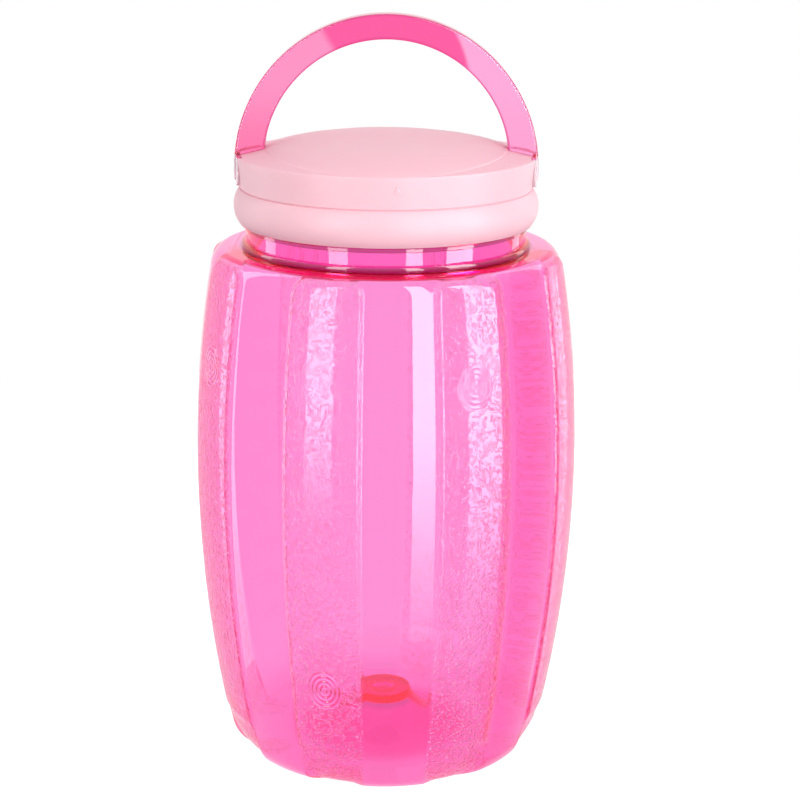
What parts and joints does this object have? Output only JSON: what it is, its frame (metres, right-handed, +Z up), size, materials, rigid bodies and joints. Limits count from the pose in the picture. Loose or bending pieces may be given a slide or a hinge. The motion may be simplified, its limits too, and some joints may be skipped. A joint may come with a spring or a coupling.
{
  "type": "plastic storage jar",
  "caption": "Barrel-shaped clear plastic jar with staved wall, wide threaded mouth, double-wall screw lid and a fixed arched carry handle.",
  "frame": {"origin": "centre of the ring that the jar stands on", "axes": "+Z up along the jar's axis, +X through the handle's right foot, -Y to the front"},
  "size_m": [0.1536, 0.1536, 0.2974],
  "materials": {
    "clear_pink": "gloss, see-through",
    "lid_pink": "gloss, opaque",
    "soft_white": "matte",
    "handle_pink": "gloss, see-through"
  },
  "bodies": {
    "jar": {"jar_body": "clear_pink"},
    "seal": {"seal_ring": "soft_white"},
    "lid": {"lid_cover": "lid_pink", "screw_cap": "lid_pink", "carry_handle": "handle_pink"}
  },
  "joints": [
    {"name": "lid_rise", "type": "slide", "parent": "jar", "child": "seal", "axis": [0, 0, 1], "range_m": [0, 0.018]},
    {"name": "lid_turn", "type": "hinge", "parent": "seal", "child": "lid", "pos_m": [0, 0, 0.225], "axis": [0, 0, 1], "range_deg": [0, 720]}
  ],
  "couplings": [
    {"joint": "lid_rise", "follows": "lid_turn", "m_per_rad": 0.0014324}
  ]
}
